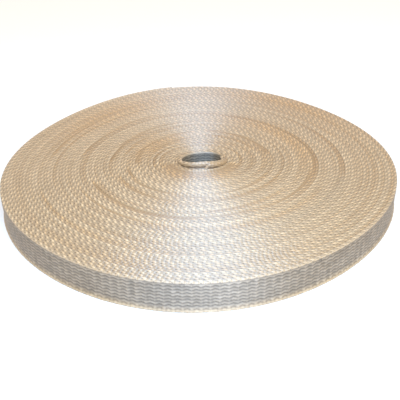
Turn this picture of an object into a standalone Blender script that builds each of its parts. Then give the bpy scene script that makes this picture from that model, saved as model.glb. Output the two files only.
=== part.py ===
"""A roll of plain cotton webbing, lying flat: one woven strip wound tightly on itself, with an open bore.

Metres, +Z up. The roll stands on z = 0 with the middle of its box on the Z axis. Its front faces -Y, where its
innermost turns have crept up out of the bore. Angles run anticlockwise from +X, seen from above.
"""

import math

import bmesh
import bpy

# The strip
WEBBING_WIDTH = 0.025
WEBBING_THICKNESS = 0.00242
SELVEDGE_ROUND = 0.0008  # how far the strip's edges are rounded over
BASE_ROUND = 0.0005  # the same on the underside, where the turns are pressed level

# How it is wound: clockwise outwards, from the inner end in the bore to the outer end at the back
WHOLE_TURNS = 59
BORE_RADIUS = 0.0138  # to the strip's face at its inner end
INNER_END_DEG = 20.0
OUTER_END_DEG = 100.0
TURNS = WHOLE_TURNS + ((INNER_END_DEG - OUTER_END_DEG) % 360.0) / 360.0
OUTER_RADIUS = BORE_RADIUS + WEBBING_THICKNESS * (TURNS + 0.5)  # its mean, between one turn and the next

# How far the winding is out of round. Each row is a ripple that grows from the bore to the rim
RIPPLES = (
    # ripples in one turn, height as a part of the outer radius, angle of one peak
    (2, 0.0116, 69.0),
    (3, 0.0115, -23.0),
    (4, 0.0113, 3.0),
)

# The bore is squeezed to an oval and pushed aside, which dies away in the turns around it
BORE_OVAL = 0.175
BORE_OVAL_DEG = 7.0
BORE_SHIFT_X = 0.0023
BORE_SHIFT_Y = 0.0005
BORE_REACH = 0.040

# The innermost turns stand proud of the rest in the front half
PROUD_FRONT = 0.0048
PROUD_BACK = 0.0006
PROUD_FULLNESS = 0.7  # under 1, so that the height is gained soon after the sides
PROUD_EDGE = 0.0004
PROUD_END_DEG = -67.0  # anticlockwise from here to the inner end, a second turn stands proud too
PROUD_END_EASE_DEG = 18.0

# Turns that were wound a little low or high leave soft bands on the top
BANDS = (
    # name, start angle, end angle, radius at the start, radius at the end, half width, height
    ("front_left_trough", -156.0, -92.0, 0.089, 0.099, 0.0050, -0.0010),
    ("right_trough", -6.0, 66.0, 0.093, 0.087, 0.0055, -0.0010),
    ("back_left_inner_trough", 98.0, 170.0, 0.046, 0.053, 0.0045, -0.0007),
    ("back_left_trough", 104.0, 150.0, 0.063, 0.077, 0.0045, -0.0007),
    ("back_left_outer_trough", 118.0, 150.0, 0.118, 0.132, 0.0055, -0.0007),
    ("front_right_trough", -64.0, -30.0, 0.061, 0.068, 0.0045, -0.0006),
    ("front_ridge", -118.0, -20.0, 0.112, 0.118, 0.0060, 0.0005),
    ("back_ridge", 30.0, 96.0, 0.108, 0.114, 0.0060, 0.0004),
    ("foot_trough", -160.0, -20.0, 0.024, 0.024, 0.0050, -0.0006),
)
BAND_EASE_DEG = 14.0

# Fineness of the mesh
COLUMNS = 96
TOP_RINGS = 22
END_STEP_DEG = 0.6  # the angle in which each cut end steps by one thickness

COTTON_COLOUR = (0.617, 0.456, 0.283, 1.0)
COTTON_ROUGHNESS = 0.8
SHARP_ANGLE = math.radians(50.0)


def clear_scene():
    for existing in list(bpy.data.objects):
        bpy.data.objects.remove(existing, do_unlink=True)


def eased(amount):
    """Smooth step from 0 to 1 as amount runs from 0 to 1."""
    amount = min(max(amount, 0.0), 1.0)
    return amount * amount * (3.0 - 2.0 * amount)


def fullness(degrees, start, end, ease):
    """1 between two angles, falling softly to 0 outside them."""
    past_start = (degrees - start + 180.0) % 360.0 - 180.0
    past_end = (degrees - end + 180.0) % 360.0 - 180.0
    span = (end - start) % 360.0
    inside = (degrees - start) % 360.0 <= span
    if inside:
        return 1.0
    return 1.0 - eased(min(abs(past_start), abs(past_end)) / ease)


def turned(degrees, end_degrees):
    """How much of a turn lies between a cut end and this angle, going clockwise, from 0 to 1."""
    after_end = (end_degrees - degrees) % 360.0
    if after_end > 360.0 - END_STEP_DEG:
        return (360.0 - after_end) / END_STEP_DEG
    return after_end / (360.0 - END_STEP_DEG)


def inner_radius(degrees):
    return BORE_RADIUS + WEBBING_THICKNESS * turned(degrees, INNER_END_DEG)


def outer_radius(degrees):
    return BORE_RADIUS + WEBBING_THICKNESS * (TURNS + turned(degrees, OUTER_END_DEG))


def wound_place(radius, degrees):
    """The true x and y of a place on the roll, for its radius and angle in an even spiral."""
    stretch = 1.0
    for ripples, height, peak in RIPPLES:
        stretch += height * radius / OUTER_RADIUS * math.cos(math.radians(ripples * (degrees - peak)))
    near_bore = math.exp(-(radius - BORE_RADIUS) / BORE_REACH)
    stretch += BORE_OVAL * near_bore * math.cos(math.radians(2.0 * (degrees - BORE_OVAL_DEG)))
    x = radius * stretch * math.cos(math.radians(degrees)) + BORE_SHIFT_X * near_bore
    y = radius * stretch * math.sin(math.radians(degrees)) + BORE_SHIFT_Y * near_bore
    return x, y


def band_height(radius, degrees):
    """How far the top lies above or below the level of an even winding."""
    height = 0.0
    for _, start, end, start_radius, end_radius, half_width, rise in BANDS:
        along = min(max(((degrees - start) % 360.0) / (end - start), 0.0), 1.0)
        middle = start_radius + (end_radius - start_radius) * along
        across = math.exp(-(((radius - middle) / half_width) ** 2))
        height += rise * across * fullness(degrees, start, end, BAND_EASE_DEG)
    return height


def proud_height(degrees):
    toward_front = max(-math.sin(math.radians(degrees)), 0.0) ** PROUD_FULLNESS
    return PROUD_BACK + (PROUD_FRONT - PROUD_BACK) * toward_front


def proud_turns(degrees):
    """How many of the innermost turns stand proud at this angle: one, or two beside the inner end."""
    return 1.0 + fullness(degrees, PROUD_END_DEG, INNER_END_DEG, PROUD_END_EASE_DEG)


def section(degrees):
    """The closed outline of the winding cut at one angle, as points in space."""
    inner = inner_radius(degrees)
    outer = outer_radius(degrees)
    foot = inner + WEBBING_THICKNESS * proud_turns(degrees)
    level = WEBBING_WIDTH
    proud = level + proud_height(degrees)
    points = [
        (inner, BASE_ROUND),
        (inner, proud - PROUD_EDGE),
        (inner + PROUD_EDGE, proud),
        (foot - PROUD_EDGE, proud),
        (foot, proud - PROUD_EDGE),
    ]
    first_ring = foot + PROUD_EDGE
    last_ring = outer - SELVEDGE_ROUND
    for ring in range(TOP_RINGS):
        radius = first_ring + (last_ring - first_ring) * ring / (TOP_RINGS - 1)
        points.append((radius, level + band_height(radius, degrees)))
    corner = math.cos(math.radians(45.0)) * SELVEDGE_ROUND
    points += [
        (last_ring + corner, level - SELVEDGE_ROUND + corner),
        (outer, level - SELVEDGE_ROUND),
        (outer, BASE_ROUND),
        (outer - BASE_ROUND, 0.0),
        (inner + BASE_ROUND, 0.0),
    ]
    return [(*wound_place(radius, degrees), height) for radius, height in points]


def column_angles():
    """Even steps round the roll, with a close pair of angles where each end of the strip is cut."""
    angles = [360.0 * column / COLUMNS for column in range(COLUMNS)]
    for end in (INNER_END_DEG, OUTER_END_DEG):
        angles += [end, end + END_STEP_DEG]
    return sorted(angles)


def centred(columns):
    """The columns moved so that the middle of their box is on the Z axis."""
    across = [point[0] for column in columns for point in column]
    deep = [point[1] for column in columns for point in column]
    middle_x = (min(across) + max(across)) / 2.0
    middle_y = (min(deep) + max(deep)) / 2.0
    return [[(x - middle_x, y - middle_y, z) for x, y, z in column] for column in columns]


def winding_mesh(name):
    columns = [section(degrees) for degrees in column_angles()]
    shape = bmesh.new()
    rows = [[shape.verts.new(point) for point in column] for column in centred(columns)]
    around = len(rows)
    along = len(rows[0])
    for column in range(around):
        here = rows[column]
        following = rows[(column + 1) % around]
        for point in range(along):
            past = (point + 1) % along
            shape.faces.new((here[point], following[point], following[past], here[past]))
    bmesh.ops.recalc_face_normals(shape, faces=shape.faces)
    mesh = bpy.data.meshes.new(name)
    shape.to_mesh(mesh)
    shape.free()
    mesh.shade_smooth()
    mesh.set_sharp_from_angle(angle=SHARP_ANGLE)
    return mesh


def cotton_material():
    material = bpy.data.materials.new("natural_cotton")
    material.use_nodes = True
    shader = material.node_tree.nodes["Principled BSDF"]
    shader.inputs["Base Color"].default_value = COTTON_COLOUR
    shader.inputs["Roughness"].default_value = COTTON_ROUGHNESS
    shader.inputs["Metallic"].default_value = 0.0
    return material


def webbing_roll():
    """The whole strip in its wound form, as one solid."""
    name = "webbing_roll"
    mesh = winding_mesh(name)
    mesh.materials.append(cotton_material())
    roll = bpy.data.objects.new(name, mesh)
    bpy.context.scene.collection.objects.link(roll)
    return roll


clear_scene()
webbing_roll()
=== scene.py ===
"""Looks of the roll of cotton webbing: the woven strip turn by turn, its cotton, the light and the camera.

Metres, +Z up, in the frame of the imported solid. A place on the strip is given by its turn, counted from the
inner end in the bore, by its depth outwards from the strip's inner face, and by its height above the floor.
Every woven surface also holds its own place on the strip, so that the cotton's pattern follows the yarns.
"""

import math

import bpy
import numpy as np
from mathutils import Matrix, Vector


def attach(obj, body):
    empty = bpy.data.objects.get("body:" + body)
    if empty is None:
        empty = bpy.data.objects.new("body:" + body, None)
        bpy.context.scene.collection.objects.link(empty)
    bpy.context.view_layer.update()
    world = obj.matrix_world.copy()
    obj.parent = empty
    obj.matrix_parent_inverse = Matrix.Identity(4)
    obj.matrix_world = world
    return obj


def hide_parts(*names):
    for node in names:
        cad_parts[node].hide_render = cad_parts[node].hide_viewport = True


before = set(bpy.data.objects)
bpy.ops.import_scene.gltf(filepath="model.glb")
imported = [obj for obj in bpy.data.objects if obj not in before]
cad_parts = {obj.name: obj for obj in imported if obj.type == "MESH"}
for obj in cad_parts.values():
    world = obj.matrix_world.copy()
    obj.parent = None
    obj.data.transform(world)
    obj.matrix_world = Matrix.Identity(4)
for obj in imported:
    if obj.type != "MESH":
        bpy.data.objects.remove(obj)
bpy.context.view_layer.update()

NODE = "webbing_roll"
BODY = "root"

# The strip, as in the solid
WEBBING_WIDTH = 0.025
WEBBING_THICKNESS = 0.00242
WHOLE_TURNS = 59
BORE_RADIUS = 0.0138
INNER_END_DEG = 20.0
OUTER_END_DEG = 100.0
TURNS = WHOLE_TURNS + ((INNER_END_DEG - OUTER_END_DEG) % 360.0) / 360.0
OUTER_RADIUS = BORE_RADIUS + WEBBING_THICKNESS * (TURNS + 0.5)
STRIP_MIDDLE = BORE_RADIUS + WEBBING_THICKNESS / 2.0  # radius of the strip's middle at its inner end

# How far the winding is out of round
RIPPLES = (
    # ripples in one turn, height as a part of the outer radius, angle of one peak
    (2, 0.0116, 69.0),
    (3, 0.0115, -23.0),
    (4, 0.0113, 3.0),
)
BORE_OVAL = 0.175
BORE_OVAL_DEG = 7.0
BORE_SHIFT_X = 0.0023
BORE_SHIFT_Y = 0.0005
BORE_REACH = 0.040
OUTLINE_STEPS = 1441  # places along the outermost turn at which the roll's box is measured

# The innermost turns stand proud in the front half. One turn does, and a second one beside the inner end
PROUD_FRONT = 0.0048
PROUD_BACK = 0.0003
PROUD_FULLNESS = 0.7  # under 1, so that the height is gained soon after the sides
PROUD_END_DEG = -67.0
PROUD_TURNS = 1.0 + (INNER_END_DEG - PROUD_END_DEG) / 360.0
PROUD_FALL_TURNS = 0.05

# Turns wound a little low or high
BANDS = (
    # start angle, end angle, radius at the start, radius at the end, half width, height
    (-150.0, -100.0, 0.0882, 0.0896, 0.0023, -0.0010),
    (-150.0, -98.0, 0.0999, 0.1019, 0.0014, -0.0005),
    (-150.0, -100.0, 0.0680, 0.0706, 0.0016, -0.0007),
    (-160.0, -92.0, 0.0580, 0.0618, 0.0015, -0.0007),
    (-150.0, -95.0, 0.1304, 0.1308, 0.0014, -0.0004),
    (-85.0, -16.0, 0.0882, 0.0911, 0.0016, -0.0006),
    (0.0, 68.0, 0.0919, 0.0916, 0.0018, -0.0007),
    (-80.0, -45.0, 0.0807, 0.0800, 0.0014, -0.0005),
    (-85.0, -30.0, 0.0689, 0.0676, 0.0017, -0.0006),
    (-75.0, -30.0, 0.0599, 0.0575, 0.0015, -0.0006),
    (-78.0, -35.0, 0.1037, 0.1039, 0.0014, -0.0005),
    (20.0, 78.0, 0.0545, 0.0596, 0.0020, -0.0008),
    (28.0, 78.0, 0.0455, 0.0510, 0.0016, -0.0006),
    (25.0, 72.0, 0.1248, 0.1236, 0.0020, -0.0006),
    (105.0, 178.0, 0.0578, 0.0496, 0.0018, -0.0008),
    (110.0, 150.0, 0.0466, 0.0417, 0.0016, -0.0007),
    (115.0, 170.0, 0.0779, 0.0720, 0.0018, -0.0008),
    (118.0, 160.0, 0.0679, 0.0631, 0.0014, -0.0006),
    (120.0, 165.0, 0.1022, 0.0982, 0.0016, -0.0006),
    (120.0, 168.0, 0.1291, 0.1243, 0.0030, -0.0005),
    (-118.0, -20.0, 0.1120, 0.1180, 0.0060, 0.0004),
    (30.0, 96.0, 0.1080, 0.1140, 0.0060, 0.0003),
    (-160.0, -20.0, 0.0240, 0.0240, 0.0050, -0.0006),
)
BAND_EASE_DEG = 14.0
OUTER_TURN_DROP = 0.0002  # the outermost turn lies this much lower, so that the roll's edge is softer
OUTER_TURN_EASE = 0.02  # the part of a turn in which it drops

# Patches of painted warm shade, for light bounced between the yarns in hollows
WARM_BOUNCE_PATCHES = (
    # radius, angle, half width across the turns, half width along them in degrees
    (0.031, -121.0, 0.006, 22.0),
    (0.033, -62.0, 0.006, 18.0),
    (0.130, 132.0, 0.018, 26.0),
    (0.146, 52.0, 0.012, 26.0),
    (0.086, 30.0, 0.008, 40.0),
    (0.050, 140.0, 0.010, 36.0),
)
WARM_BOUNCE_DROP = 0.0005  # a turn that lies this much low gets that painted warm shade throughout

# The weave at the selvedge. In each repeat the weft turns back twice, under one long pale yarn that lies
# aslant. Places across a turn run from -1 at its inner side to 1 at its outer side
REPEAT = 0.00594
LOOP_DIP = 0.00028  # how far the gap between two loops lies below their backs
LOOP_JITTER = 0.00004  # how far loops usually differ in height
LOOP_WAIST = 0.75  # how wide the selvedge is in the gap between two loops, beside its width at a loop
LOOP_ROUNDNESS = 0.97  # just under 1, so that the gap isn't creased to a point
OUTER_NOTCH = 0.00030  # how much deeper the gaps between loops are on the turn's outer side
NOTCH_START = -0.4  # the place across a turn where its outer side begins
YARN_START = 0.25  # how far the pale yarn is shifted along the strip, as a part of the repeat
YARN_SLANT = 0.75  # the places across the turn where the pale yarn begins and, with a minus, ends
YARN_HALF_WIDTH = 0.52  # across the turn
YARN_FULLNESS = 0.60  # under 1, so that the yarn shows for most of its length
TOP_SECTION = (
    # place across the turn, how far down
    (-1.05, 0.00150),
    (-1.00, 0.00026),
    (-0.55, 0.00006),
    (0.00, 0.00000),
    (0.55, 0.00006),
    (1.00, 0.00026),
    (1.05, 0.00150),
)
UNDER_SECTION = (
    # place across the turn, how far up
    (-0.98, 0.00120),
    (-0.80, 0.00020),
    (0.00, 0.00000),
    (0.80, 0.00020),
    (0.98, 0.00120),
)
FOOT = 0.99  # past this place across the turn, the top's loops have ended in the groove between two turns
OUTERMOST_FOOT = 0.80  # the outermost turn's foot is drawn in to this part of its width, behind the rim's face

# The weave on the strip's face
ROW_COUNT = 9.5  # across the strip
ROW_DIP = 0.00038  # how far the hollows between yarns lie below a yarn of height 1
ROW_ZIGZAG = 0.00048  # how far each row swings up and down along the strip
ROW_HEIGHT = 0.82  # the usual height of a yarn
ROW_CHANCE = 0.15  # how far yarns usually differ from it
KNOT_RISE = 0.22  # how much height the yarns gain where they cross, once in each repeat
KNOT_SHARPNESS = 6.0  # the higher, the shorter the crossing
TALLEST = 1.3  # the most that chance makes of a yarn's height or tone
TOP_EDGE = 0.0004  # how far a selvedge loop reaches down the strip's face
BASE_EDGE = 0.0030  # the same at the base, where the outermost turn's loops are splayed by the roll's weight
BASE_SPLAY = 0.0012  # how far they are splayed
SPLAY_REACH = 0.0048  # and up to which height
EDGE_GROUND = 0.4  # height of the gaps between the loops that reach down the face
FACE_ROUND = 0.0003  # how far the strip's edges are rounded over
FACE_ROUND_REACH = 0.0012  # how far from the edge that begins
FACE_FOOT = 0.0001  # height of the face's lower edge above the floor
FACE_TUCK = 0.0003  # how far below the top of its turn a face ends, under the selvedge
PROUD_TUCK = 0.0012  # how far the proud turns' face reaches down past the turn beside it

# The cut ends
CUT_MARGIN = 0.04  # at both faces, as a part of the thickness
CUT_INSET = 0.0008  # at both selvedges
CUT_STAND = 0.0002  # how far the cut yarns stand past the end of the strip
CUT_FRAY = 0.0003  # how much farther their middles do
CUT_PLIES = 3.0  # yarns through the thickness

# Tones run from 0 for the darkest cotton to 1 for the palest; besides the weave's own tones they hold the
# painted light and shade marked below
LOOP_BACK_LIGHT = 0.25  # painted light: how much paler the back of each loop is painted
LOOP_BACK_LIGHT_FALL = 0.5  # how much of that painted light is lost at the turn's sides
TONE_JITTER = 0.14  # how far pale yarns usually differ
FOOT_TONE = 0.45  # of the cotton in the groove between turns
OUTER_GAP_SHADE = 0.20  # painted shade: how much darker the gaps between loops are painted on the turn's outer side
SUNKEN_DEPTH = 0.0003  # turns that lie lower than this are painted in shade: a flat, darker tone that shows less of the pale yarn
SUNKEN_SHADE_TONE = 0.31
BASE_PALENESS = 0.45  # how far the face takes on the selvedge's tone at the base
PROUD_PALENESS = 0.9  # how far the proud turns' face takes it on everywhere
FOOT_SHADE_REACH = 0.0070  # how far up the proud turns' face the painted shade at its foot reaches
EDGE_SHINE = 1.0
FACE_SHINE = 0.65
GAP_DULLNESS = 0.55  # how much of the shine is lost in gaps and hollows

# Fineness of the pieces: samples in one repeat, lines from base to top, turns in each piece of the top
TOP_SAMPLES = 8
UNDER_SAMPLES = 4
FACE_SAMPLES = 8
FACE_LINES = 50
PROUD_LINES = 12
CUT_COLUMNS = 9
CUT_LINES = 41
INNER_TURNS = 32.0
INNER_AND_MIDDLE_TURNS = 47.5

# Chance: how high each stretch of the strip lies, and what is uneven from one loop, yarn or row to the next
SEED = 7
WANDERS_IN_A_TURN = 3
SPARE_WANDERS = 12
CHANCES = 4096
TURN_LEVEL = 0.00020  # how far turns usually lie above or below the next one
TURN_TONE = 0.10  # how much paler a turn is that lies that much higher
YARN_STRIDE = 7  # with these strides, pale yarns and the face's rows draw other chances than the loops do
ROW_STRIDE = 29
LENGTH_STRIDE = 13
NUDGE = 1e-6  # keeps a sample on the border of two loops in the later one
random = np.random.default_rng(SEED)
TURN_WANDER = TURN_LEVEL * random.standard_normal(WHOLE_TURNS * WANDERS_IN_A_TURN + SPARE_WANDERS)
LOOP_CHANCE = random.standard_normal(CHANCES)

# Cotton. The groove colours also paint the shade in gaps, grooves and hollows, and the crest colours the light
# on loop backs and yarn tops
EDGE_CREST = (0.87, 0.63, 0.37, 1.0)
EDGE_GROOVE = (0.10, 0.052, 0.014, 1.0)
FACE_CREST = (0.265, 0.198, 0.130, 1.0)
FACE_GROOVE = (0.068, 0.051, 0.033, 1.0)
# The tint of the painted warm shade in hollows
WARM_BOUNCE_TINT = (0.97, 0.81, 0.53, 1.0)
BLOTCH_TINT = (0.84, 0.79, 0.70, 1.0)
FLECK_TINT = (0.90, 0.87, 0.82, 1.0)
NO_TINT = (1.0, 1.0, 1.0, 1.0)
BLOTCH_SCALE = (18.0, 60.0, 1.3)  # along the strip, across it, and from turn to turn
FIBRE_SCALE = (900.0, 500.0, 40.0)
BLOTCH_DETAIL = 3.0
FIBRE_DETAIL = 4.0
NOISE_LOW = 0.3  # from here to NOISE_HIGH is the middle range of the noise that makes blotches and fibres
NOISE_HIGH = 0.7
ROUGHEST = 0.70
SMOOTHEST = 0.57
FIBRE_BUMP = 0.35
FIBRE_HEIGHT = 0.0003
REFRACTION = 2.3
ANISOTROPY = 0.85
SHEEN_TURN = 0.25  # turns the sheen along the strip

# The camera, as the photograph has it: distances in outer radii, from the middle of the top
CAMERA_DISTANCE = 3.370
CAMERA_ELEVATION = math.radians(28.44)
CAMERA_DROP = math.radians(3.60)  # how far below the middle of the top it looks
CAMERA_ROLL = math.radians(-0.68)
FOCAL_PIXELS = 640.6
PICTURE_PIXELS = 400
SENSOR_WIDTH = 36.0
NEAREST = 0.01
FARTHEST = 20.0

# Floor and light
FLOOR_SIZE = 6.0
FLOOR_COLOUR = (0.9, 0.9, 0.9, 1.0)
FLOOR_ROUGHNESS = 0.9
SKY = 1.11
SKY_COLOUR = (1.0, 0.895, 0.80, 1.0)
LIGHTS = (
    # name, place, width, depth, power, colour
    ("key", (0.02, -0.42, 0.40), 0.50, 0.10, 4.1, (0.37, 0.66, 1.0)),
    ("side", (0.5, -0.2, 0.9), 1.0, 1.0, 1.5, (1.0, 1.0, 0.82)),
    ("low", (0.20, -0.85, 0.08), 0.40, 0.10, 2.2, (1.0, 0.95, 0.88)),
)


def eased(amount):
    """Smooth step from 0 to 1 as amount runs from 0 to 1."""
    amount = np.clip(amount, 0.0, 1.0)
    return amount * amount * (3.0 - 2.0 * amount)


def angle_at(turn):
    """Degrees anticlockwise from +X. The strip is wound clockwise outwards."""
    return INNER_END_DEG - 360.0 * turn


def radius_at(turn):
    """Radius of the strip's middle in an even winding."""
    return BORE_RADIUS + WEBBING_THICKNESS * (turn + 0.5)


def length_at(turn):
    """How much strip lies between the inner end and this turn, along its middle."""
    return 2.0 * math.pi * (STRIP_MIDDLE * turn + WEBBING_THICKNESS * turn * turn / 2.0)


def turn_at(length):
    """The turn that this much strip reaches to."""
    reach = np.sqrt(STRIP_MIDDLE * STRIP_MIDDLE + WEBBING_THICKNESS * length / math.pi)
    return (reach - STRIP_MIDDLE) / WEBBING_THICKNESS


def lengths_between(first_turn, last_turn, samples):
    """Evenly spaced lengths of strip that cover these turns, with this many samples in each repeat."""
    step = REPEAT / samples
    first = math.floor(length_at(first_turn) / step)
    last = math.ceil(length_at(last_turn) / step)
    return np.arange(first, last + 1) * step


def near_bore(radius):
    return np.exp(-(radius - BORE_RADIUS) / BORE_REACH)


def out_of_round(radius, degrees):
    stretch = np.ones_like(radius)
    for ripples, height, peak in RIPPLES:
        stretch += height * radius / OUTER_RADIUS * np.cos(np.radians(ripples * (degrees - peak)))
    oval = BORE_OVAL * near_bore(radius)
    return radius * (stretch + oval * np.cos(np.radians(2.0 * (degrees - BORE_OVAL_DEG))))


def wound(turn, depth):
    """x and y of a place on the strip, about the middle of the spiral."""
    turn, depth = np.broadcast_arrays(np.asarray(turn, float), np.asarray(depth, float))
    degrees = angle_at(turn)
    even = BORE_RADIUS + WEBBING_THICKNESS * turn + depth
    radius = out_of_round(even, degrees)
    x = radius * np.cos(np.radians(degrees)) + BORE_SHIFT_X * near_bore(even)
    y = radius * np.sin(np.radians(degrees)) + BORE_SHIFT_Y * near_bore(even)
    return x, y


def spiral_middle():
    """Where the spiral's middle lies, so that the roll's box is centred on the Z axis as the solid's is."""
    x, y = wound(np.linspace(TURNS - 1.0, TURNS, OUTLINE_STEPS), WEBBING_THICKNESS)
    return -(x.min() + x.max()) / 2.0, -(y.min() + y.max()) / 2.0


MIDDLE_X, MIDDLE_Y = spiral_middle()


def place(turn, depth, height):
    x, y = wound(turn, depth)
    height = np.broadcast_to(height, x.shape)
    return np.stack([x + MIDDLE_X, y + MIDDLE_Y, height], axis=-1)


def band_height(turn):
    """How far the top of a turn lies above or below an even winding."""
    degrees = angle_at(turn)
    radius = radius_at(turn)
    height = np.zeros_like(turn)
    for start, end, start_radius, end_radius, half_width, rise in BANDS:
        half_span = (end - start) / 2.0
        past = (degrees - start + 180.0 - half_span) % 360.0 - 180.0 + half_span
        along = np.clip(past / (end - start), 0.0, 1.0)
        outside = np.maximum(np.maximum(-past, past - (end - start)), 0.0)
        middle = start_radius + (end_radius - start_radius) * along
        across = np.exp(-(((radius - middle) / half_width) ** 2))
        height += rise * across * (1.0 - eased(outside / BAND_EASE_DEG))
    return height


def proud_height(turn):
    toward_front = np.maximum(-np.sin(np.radians(angle_at(turn))), 0.0) ** PROUD_FULLNESS
    rise = PROUD_BACK + (PROUD_FRONT - PROUD_BACK) * toward_front
    return rise * (1.0 - eased((turn - PROUD_TURNS) / PROUD_FALL_TURNS))


def wander(turn):
    """Small differences in height from turn to turn, which change slowly along the strip."""
    knots = turn * WANDERS_IN_A_TURN
    first = np.floor(knots).astype(int)
    part = eased(knots - first)
    return TURN_WANDER[first] * (1.0 - part) + TURN_WANDER[first + 1] * part


def top_level(turn):
    drop = OUTER_TURN_DROP * eased((turn - TURNS + 1.0) / OUTER_TURN_EASE)
    return WEBBING_WIDTH + band_height(turn) + proud_height(turn) + wander(turn) - drop


def face_low(turn):
    return np.full_like(turn, FACE_FOOT)


def face_high(turn):
    return top_level(turn) - FACE_TUCK


def proud_low(turn):
    return top_level(turn) - proud_height(turn) - PROUD_TUCK


def warm_bounce_amount(turn):
    """How much painted warm shade, for light bounced in hollows, a turn gets, from 0 to 1: in the patches, and
    where turns lie low.
    """
    degrees = angle_at(turn)
    radius = radius_at(turn)
    amount = np.clip(-(band_height(turn) + wander(turn)) / WARM_BOUNCE_DROP, 0.0, 1.0)
    for middle, angle, across, along in WARM_BOUNCE_PATCHES:
        off = (degrees - angle + 180.0) % 360.0 - 180.0
        amount += np.exp(-(((radius - middle) / across) ** 2) - (off / along) ** 2)
    return np.clip(amount, 0.0, 1.0)


def chance(index):
    """The chance that belongs to a loop, a yarn or a row, by its number."""
    return LOOP_CHANCE[index.astype(int) % CHANCES]


def loop_rise(length):
    """From 0 in the gap between two selvedge loops to 1 on the back of a loop."""
    loops = 2.0 * length / REPEAT
    part = loops - np.floor(loops + NUDGE)
    return np.sqrt(np.clip(1.0 - LOOP_ROUNDNESS * (2.0 * part - 1.0) ** 2, 0.0, 1.0))


def loop_height(length):
    """How far each loop stands higher or lower than the others."""
    return LOOP_JITTER * chance(np.floor(2.0 * length / REPEAT + NUDGE))


def pale_yarn(length, across):
    """How much of the pale yarn shows at a place on the selvedge. It runs inwards as the strip goes on."""
    repeats = length / REPEAT + YARN_START
    repeat = np.floor(repeats + NUDGE)
    part = np.clip(repeats - repeat, 0.0, 1.0)
    middle = YARN_SLANT * (1.0 - 2.0 * part)
    pale = np.exp(-(((across - middle) / YARN_HALF_WIDTH) ** 2)) * np.sin(math.pi * part) ** YARN_FULLNESS
    return np.clip(pale * (1.0 + TONE_JITTER * chance(YARN_STRIDE * repeat)), 0.0, TALLEST)


def grid_mesh(name, points, inward):
    """A mesh of quads from a grid of points."""
    rows, columns = points.shape[:2]
    index = np.arange(rows * columns).reshape(rows, columns)
    corners = [index[:-1, :-1], index[1:, :-1], index[1:, 1:], index[:-1, 1:]]
    quads = np.stack(corners, axis=-1).reshape(-1, 4)
    if inward:
        quads = quads[:, ::-1]
    mesh = bpy.data.meshes.new(name)
    mesh.vertices.add(rows * columns)
    mesh.vertices.foreach_set("co", points.astype(np.float32).ravel())
    mesh.loops.add(quads.size)
    mesh.loops.foreach_set("vertex_index", quads.astype(np.int32).ravel())
    mesh.polygons.add(len(quads))
    mesh.polygons.foreach_set("loop_start", np.arange(0, quads.size, 4, dtype=np.int32))
    mesh.update(calc_edges=True)
    mesh.shade_smooth()
    return mesh


def woven_piece(name, points, material, inward, strip, tones):
    """A piece from a grid of points, each with its place on the strip and the tones that its cotton reads.

    The crest tone runs from the darkest cotton to the palest and holds painted light and shade besides the
    weave's own tones; edge runs from the face's colours to the selvedge's, the warm tone from plain to the
    painted warm shade of hollows, and shine is the strength of the sheen.
    """
    mesh = grid_mesh(name, points, inward)
    places = np.stack(np.broadcast_arrays(*strip), axis=-1)
    mesh.attributes.new("strip", "FLOAT_VECTOR", "POINT").data.foreach_set("vector", places.ravel())
    for key, tone in tones.items():
        tone_grid = np.broadcast_to(tone, points.shape[:2])
        mesh.attributes.new(key, "FLOAT", "POINT").data.foreach_set("value", tone_grid.ravel())
    mesh.materials.append(material)
    piece = bpy.data.objects.new(name, mesh)
    bpy.context.scene.collection.objects.link(piece)
    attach(piece, BODY)
    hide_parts(NODE)


def selvedge(name, first_turn, last_turn, section, samples, material, under=False):
    """The selvedge of many turns as one long ridge of loops, on the top or the underside."""
    length = np.minimum(lengths_between(first_turn, last_turn, samples), length_at(TURNS))[:, None]
    turn = turn_at(length)
    rise = loop_rise(length)
    across, down = np.array(section).T
    is_foot = np.abs(across) > FOOT
    outermost = (turn > TURNS - 1.0) & (across > 0.0)
    foot_width = np.where(outermost, OUTERMOST_FOOT, 1.0)
    loop_width = LOOP_WAIST + (1.0 - LOOP_WAIST) * rise
    depth = WEBBING_THICKNESS * (0.5 + 0.5 * across * np.where(is_foot, foot_width, loop_width))
    gap = (1.0 - rise) * eased(across - NOTCH_START)
    notch = np.where(outermost, 0.0, OUTER_NOTCH) * gap
    dip = LOOP_DIP * (1.0 - rise) + notch - loop_height(length)
    drop = down + np.where(is_foot, 0.0, dip)
    if under:
        height = np.maximum(drop, 0.0)
    else:
        height = top_level(turn) - drop

    # Painted light on the backs of the loops, less at the turn's sides; the pale yarn is the weave's own tone
    loop_back_light = LOOP_BACK_LIGHT * rise * (1.0 - LOOP_BACK_LIGHT_FALL * np.abs(across))
    yarn_tone = (1.0 - LOOP_BACK_LIGHT) * pale_yarn(length, across)
    # Painted shade in the gaps between loops on the turn's outer side
    crest = np.where(is_foot, FOOT_TONE, loop_back_light + yarn_tone - OUTER_GAP_SHADE * gap)
    crest = crest * (1.0 + TURN_TONE * wander(turn) / TURN_LEVEL)
    # Painted shade on turns that lie low
    sunken = eased((-band_height(turn) - SUNKEN_DEPTH) / SUNKEN_DEPTH)
    crest = crest * (1.0 - sunken) + SUNKEN_SHADE_TONE * sunken
    shine = EDGE_SHINE * (1.0 - GAP_DULLNESS * gap)
    points = place(turn, depth, height)
    tones = {"crest": crest, "edge": 1.0, "warm_bounce_light": warm_bounce_amount(turn), "shine": shine}
    woven_piece(name, points, material, not under, (length, depth, turn), tones)


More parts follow.
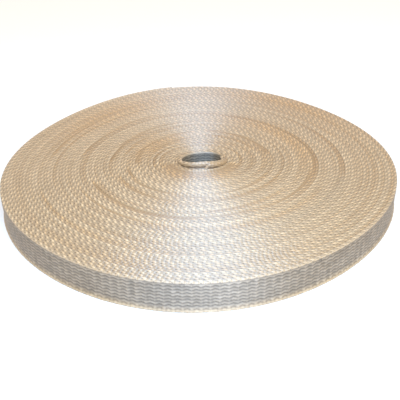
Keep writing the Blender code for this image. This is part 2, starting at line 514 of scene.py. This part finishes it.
def face_weave(length, across):
    """How high on its yarns a place on the woven face is, and how near to a selvedge."""
    phase = 2.0 * math.pi * length / REPEAT
    zigzag = ROW_ZIGZAG * 2.0 / math.pi * np.arcsin(np.sin(phase))
    row = (across + zigzag) / WEBBING_WIDTH * ROW_COUNT
    own = chance(np.floor(2.0 * length / REPEAT) * LENGTH_STRIDE + np.floor(row) * ROW_STRIDE)
    knot = (0.5 + 0.5 * np.sin(phase)) ** KNOT_SHARPNESS
    rows = np.abs(np.sin(math.pi * row)) * (ROW_HEIGHT + ROW_CHANCE * own) + KNOT_RISE * knot
    upper = across > WEBBING_WIDTH / 2.0
    reach = np.where(upper, TOP_EDGE, BASE_EDGE)
    paleness = np.where(upper, 1.0, BASE_PALENESS)
    edge = paleness * (1.0 - eased(np.minimum(across, WEBBING_WIDTH - across) / reach - 0.5))
    loops = EDGE_GROUND + (1.0 - EDGE_GROUND) * loop_rise(length)
    return np.clip(rows * (1.0 - edge) + loops * edge, 0.0, TALLEST), edge


def face(name, first_turn, last_turn, low, high, lines, material, outward=True, proud=False):
    """The woven face of the strip between two turns, from one height to another."""
    length = lengths_between(first_turn, last_turn, FACE_SAMPLES)
    length = np.clip(length, length_at(first_turn), length_at(last_turn))[:, None]
    turn = turn_at(length)
    above = (high(turn) - low(turn)) * np.linspace(0.0, 1.0, lines)[None, :]
    height = low(turn) + above
    across = height - top_level(turn) + WEBBING_WIDTH
    # The height on the yarns is also the face's tone, so the hollows between yarns are painted shade
    crest, edge = face_weave(length, across)
    relief = ROW_DIP * (crest - 1.0)
    round_over = FACE_ROUND * (1.0 - eased(np.minimum(across, WEBBING_WIDTH - across) / FACE_ROUND_REACH))
    if outward:
        splay = BASE_SPLAY * (1.0 - eased(across / SPLAY_REACH))
        depth = WEBBING_THICKNESS + relief - round_over + splay
    else:
        depth = -relief + round_over

    # Painted shade at the foot of the proud turns' face, where it stands over the turn beside it
    if proud:
        shade = eased(proud_height(turn) / PROUD_FRONT) * (1.0 - eased(above / FOOT_SHADE_REACH))
        crest = crest * (1.0 - shade)
        edge = np.maximum(edge, PROUD_PALENESS)
    shine = FACE_SHINE * (1.0 - GAP_DULLNESS * (1.0 - crest))
    points = place(turn, depth, height)
    tones = {"crest": crest, "edge": edge, "warm_bounce_light": 0.0, "shine": shine}
    woven_piece(name, points, material, not outward, (length, across, turn), tones)


def cut_end(name, turn, forward, material):
    """The cut end of the strip: the ends of its yarns in a flat face."""
    across = np.linspace(0.0, 1.0, CUT_COLUMNS)[:, None]
    up = np.linspace(0.0, 1.0, CUT_LINES)[None, :]
    depth = WEBBING_THICKNESS * (CUT_MARGIN + (1.0 - 2.0 * CUT_MARGIN) * across)
    height = CUT_INSET + (WEBBING_WIDTH - 2.0 * CUT_INSET) * up
    yarn = np.abs(np.sin(math.pi * across * CUT_PLIES)) * np.abs(np.sin(math.pi * up * ROW_COUNT * 2.0))
    length = length_at(turn) + forward * (CUT_STAND + CUT_FRAY * yarn)
    points = place(turn_at(length), depth, height)
    # The yarn ends' height is also their tone, so the hollows between them are painted shade
    tones = {"crest": yarn, "edge": 0.0, "warm_bounce_light": 0.0, "shine": yarn}
    woven_piece(name, points, material, forward > 0, (length, height, turn), tones)


class Nodes:
    """Short calls that add and join a material's nodes."""

    def __init__(self, name):
        self.material = bpy.data.materials.new(name)
        self.material.use_nodes = True
        self.tree = self.material.node_tree
        self.shader = self.tree.nodes["Principled BSDF"]

    def put(self, value, socket):
        """Join another node's socket to this one, or set it to a plain value."""
        if isinstance(value, bpy.types.NodeSocket):
            self.tree.links.new(value, socket)
        else:
            socket.default_value = value

    def add(self, kind, inputs=None, **settings):
        node = self.tree.nodes.new(kind)
        for key, value in settings.items():
            setattr(node, key, value)
        for key, value in (inputs or {}).items():
            self.put(value, node.inputs[key])
        return node

    def mix(self, blend, factor, first, second):
        """Mix two colours. Their sockets go by number, because other kinds of mix share their names."""
        node = self.add("ShaderNodeMix", {0: factor}, data_type="RGBA", blend_type=blend)
        self.put(first, node.inputs[6])
        self.put(second, node.inputs[7])
        return node.outputs[2]

    def tone(self, name):
        return self.add("ShaderNodeAttribute", attribute_name=name).outputs["Fac"]

    def noise(self, place_on_strip, scale, detail):
        mapping = self.add("ShaderNodeMapping", {"Vector": place_on_strip, "Scale": scale})
        inputs = {"Vector": mapping.outputs[0], "Scale": 1.0, "Detail": detail}
        return self.add("ShaderNodeTexNoise", inputs).outputs[0]

    def spread(self, value, low, high):
        """A noise's middle range, spread from low to high."""
        inputs = {"From Min": NOISE_LOW, "From Max": NOISE_HIGH, "To Min": low, "To Max": high}
        inputs["Value"] = value
        return self.add("ShaderNodeMapRange", inputs).outputs[0]


def cotton():
    """Spun cotton: pale on the backs of the yarns and darker between them, partly the weave's own tones and
    partly painted light and shade, with painted warm shade in hollows and a soft sheen along each turn.
    """
    nodes = Nodes("natural_cotton")
    strip = nodes.add("ShaderNodeAttribute", attribute_name="strip").outputs["Vector"]
    # The crest tone: the weave's own tones with painted light on loop backs and painted shade in gaps, grooves
    # and hollows
    crest = nodes.tone("crest")
    edge_tone = nodes.mix("MIX", crest, EDGE_GROOVE, EDGE_CREST)
    face_tone = nodes.mix("MIX", crest, FACE_GROOVE, FACE_CREST)
    base = nodes.mix("MIX", nodes.tone("edge"), face_tone, edge_tone)
    # Painted warm shade, for light bounced between the yarns in hollows
    base = nodes.mix("MULTIPLY", nodes.tone("warm_bounce_light"), base, WARM_BOUNCE_TINT)

    blotch = nodes.noise(strip, BLOTCH_SCALE, BLOTCH_DETAIL)
    blotch_tint = nodes.mix("MIX", nodes.spread(blotch, 0.0, 1.0), BLOTCH_TINT, NO_TINT)
    base = nodes.mix("MULTIPLY", 1.0, base, blotch_tint)
    fibre = nodes.noise(strip, FIBRE_SCALE, FIBRE_DETAIL)
    fleck_tint = nodes.mix("MIX", nodes.spread(fibre, 0.0, 1.0), FLECK_TINT, NO_TINT)
    base = nodes.mix("MULTIPLY", 1.0, base, fleck_tint)

    bump = nodes.add("ShaderNodeBump", {"Height": fibre, "Strength": FIBRE_BUMP, "Distance": FIBRE_HEIGHT})
    tangent = nodes.add("ShaderNodeTangent", direction_type="RADIAL", axis="Z")
    shader = nodes.shader.inputs
    nodes.put(base, shader["Base Color"])
    nodes.put(nodes.spread(fibre, ROUGHEST, SMOOTHEST), shader["Roughness"])
    nodes.put(bump.outputs[0], shader["Normal"])
    nodes.put(tangent.outputs[0], shader["Tangent"])
    nodes.put(nodes.tone("shine"), shader["Specular IOR Level"])
    nodes.put(REFRACTION, shader["IOR"])
    nodes.put(ANISOTROPY, shader["Anisotropic"])
    nodes.put(SHEEN_TURN, shader["Anisotropic Rotation"])
    return nodes.material


def make_top_and_underside(material):
    selvedge("top_inner_turns", 0.0, INNER_TURNS, TOP_SECTION, TOP_SAMPLES, material)
    selvedge("top_middle_turns", INNER_TURNS, INNER_AND_MIDDLE_TURNS, TOP_SECTION, TOP_SAMPLES, material)
    selvedge("top_outer_turns", INNER_AND_MIDDLE_TURNS, TURNS, TOP_SECTION, TOP_SAMPLES, material)
    selvedge("under_turns", 0.0, TURNS, UNDER_SECTION, UNDER_SAMPLES, material, under=True)


def make_faces(material):
    proud_end = PROUD_TURNS + PROUD_FALL_TURNS
    face("rim_face", TURNS - 1.0, TURNS, face_low, face_high, FACE_LINES, material)
    face("bore_face", 0.0, 1.0, face_low, face_high, FACE_LINES, material, outward=False)
    face("proud_face", 0.0, proud_end, proud_low, face_high, PROUD_LINES, material, proud=True)


def make_cut_ends(material):
    cut_end("outer_cut_end", TURNS, 1.0, material)
    cut_end("inner_cut_end", 0.0, -1.0, material)


def make_roll():
    material = cotton()
    make_top_and_underside(material)
    make_faces(material)
    make_cut_ends(material)


def make_camera():
    data = bpy.data.cameras.new("camera")
    data.sensor_width = SENSOR_WIDTH
    data.lens = FOCAL_PIXELS / PICTURE_PIXELS * SENSOR_WIDTH
    data.clip_start = NEAREST
    data.clip_end = FARTHEST
    camera = bpy.data.objects.new("camera", data)
    bpy.context.scene.collection.objects.link(camera)
    reach = CAMERA_DISTANCE * OUTER_RADIUS
    out = Vector((0.0, -math.cos(CAMERA_ELEVATION), math.sin(CAMERA_ELEVATION)))
    pitch = CAMERA_ELEVATION + CAMERA_DROP
    back = Vector((0.0, -math.cos(pitch), math.sin(pitch)))
    level_up = Vector((0.0, math.sin(pitch), math.cos(pitch)))
    level_right = Vector((1.0, 0.0, 0.0))
    right = level_right * math.cos(CAMERA_ROLL) + level_up * math.sin(CAMERA_ROLL)
    up = level_up * math.cos(CAMERA_ROLL) - level_right * math.sin(CAMERA_ROLL)
    turned = Matrix((right, up, back)).transposed().to_4x4()
    target = Vector((MIDDLE_X, MIDDLE_Y, WEBBING_WIDTH))
    camera.matrix_world = Matrix.Translation(target + out * reach) @ turned
    bpy.context.scene.camera = camera


def make_floor():
    half = FLOOR_SIZE / 2.0
    corners = [(-half, -half, 0.0), (half, -half, 0.0), (half, half, 0.0), (-half, half, 0.0)]
    mesh = bpy.data.meshes.new("floor")
    mesh.from_pydata(corners, [], [(0, 1, 2, 3)])
    floor = bpy.data.objects.new("floor", mesh)
    bpy.context.scene.collection.objects.link(floor)
    nodes = Nodes("floor")
    nodes.put(FLOOR_COLOUR, nodes.shader.inputs["Base Color"])
    nodes.put(FLOOR_ROUGHNESS, nodes.shader.inputs["Roughness"])
    mesh.materials.append(nodes.material)


def soft_light(name, place_at, width, depth, power, colour):
    """A soft box that faces the roll."""
    data = bpy.data.lights.new(name, "AREA")
    data.shape = "RECTANGLE"
    data.size = width
    data.size_y = depth
    data.energy = power
    data.color = colour
    light = bpy.data.objects.new(name, data)
    light.location = place_at
    light.rotation_euler = (Vector(place_at) * -1.0).to_track_quat("-Z", "Y").to_euler()
    bpy.context.scene.collection.objects.link(light)


def make_light():
    world = bpy.data.worlds.new("studio")
    world.use_nodes = True
    background = world.node_tree.nodes["Background"]
    background.inputs["Color"].default_value = SKY_COLOUR
    background.inputs["Strength"].default_value = SKY
    bpy.context.scene.world = world
    for light in LIGHTS:
        soft_light(*light)
    settings = bpy.context.scene.view_settings
    settings.view_transform = "Standard"
    settings.look = "None"
    settings.exposure = 0.0
    settings.gamma = 1.0


make_camera()
make_roll()
make_floor()
make_light()
